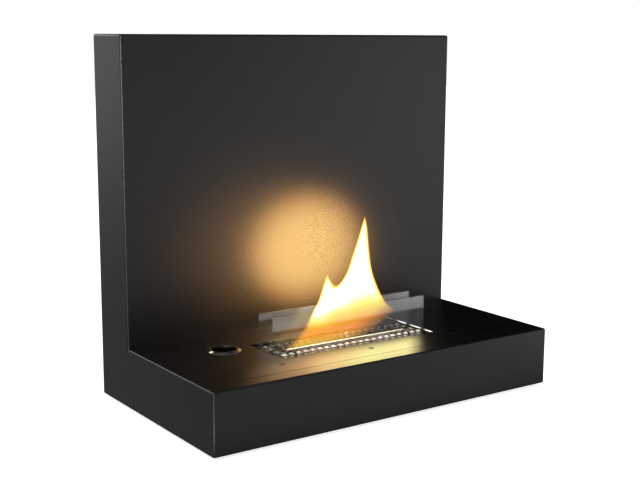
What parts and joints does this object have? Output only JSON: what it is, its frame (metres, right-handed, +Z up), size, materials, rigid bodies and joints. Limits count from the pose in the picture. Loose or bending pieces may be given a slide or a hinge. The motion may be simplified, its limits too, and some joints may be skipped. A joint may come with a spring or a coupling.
{
  "type": "bioethanol fireplace",
  "caption": "L-shaped free-standing bioethanol fireplace: black steel base and back, lift-out burner with flame slot and regulator slide, low glass panes, open filler neck.",
  "frame": {"origin": "centre of the footprint, on the surface that the feet stand on", "axes": "+Z up, the front faces -Y, the upright back is at +Y, +X is to the right seen from the front"},
  "size_m": [0.6, 0.34, 0.545],
  "materials": {
    "black_powder_coat": "satin black powder coat on sheet steel",
    "galvanised_steel": "zinc-plated sheet steel",
    "fibre_board": "pressed mineral-fibre board",
    "black_screw_steel": "black-oxide screw steel",
    "foot_rubber": "matt moulded rubber",
    "fibre_gasket": "compressed fibre gasket sheet",
    "stainless_steel": "mill-finish stainless steel",
    "polished_stainless": "polished stainless steel, heat-tinted by the flame",
    "ceramic_fibre": "loose ceramic fibre, scorched on top",
    "clear_glass": "clear toughened glass with ground edges"
  },
  "bodies": {
    "casing": {"casing": "black_powder_coat", "rear_rim": "black_powder_coat", "bottom_rim": "black_powder_coat", "burner_ledge": "black_powder_coat", "wall_stiffeners": "galvanised_steel", "insulation_board": "fibre_board", "rear_cover": "black_powder_coat", "keyhole_plates": "galvanised_steel", "rear_cover_screws": "black_screw_steel", "bottom_plate": "black_powder_coat", "bottom_plate_screws": "black_screw_steel", "spill_tray": "galvanised_steel", "foot_front_left": "foot_rubber", "foot_front_right": "foot_rubber", "foot_rear_left": "foot_rubber", "foot_rear_right": "foot_rubber"},
    "insert": {"insert_plate": "black_powder_coat", "insert_screws": "black_screw_steel", "insert_nuts": "galvanised_steel", "tank_gasket": "fibre_gasket", "fuel_tank": "stainless_steel", "tray_ledges": "stainless_steel", "wool_tray": "stainless_steel", "ceramic_wool": "ceramic_fibre", "burner_cover": "polished_stainless", "slide_guides": "stainless_steel", "filler_ring": "polished_stainless", "filler_neck": "stainless_steel", "filler_strainer": "stainless_steel"},
    "regulator": {"regulator_slide": "polished_stainless"},
    "front_pane": {"front_glass": "clear_glass"},
    "rear_pane": {"rear_glass": "clear_glass"}
  },
  "joints": [
    {"name": "insert_lift", "type": "slide", "parent": "casing", "child": "insert", "axis": [0, 0, 1], "range_m": [0, 0.12]},
    {"name": "regulator_travel", "type": "slide", "parent": "insert", "child": "regulator", "axis": [0, 1, 0], "range_m": [0, 0.013]},
    {"name": "front_glass_lift", "type": "slide", "parent": "insert", "child": "front_pane", "axis": [0, 0, 1], "range_m": [0, 0.06]},
    {"name": "rear_glass_lift", "type": "slide", "parent": "insert", "child": "rear_pane", "axis": [0, 0, 1], "range_m": [0, 0.06]}
  ]
}
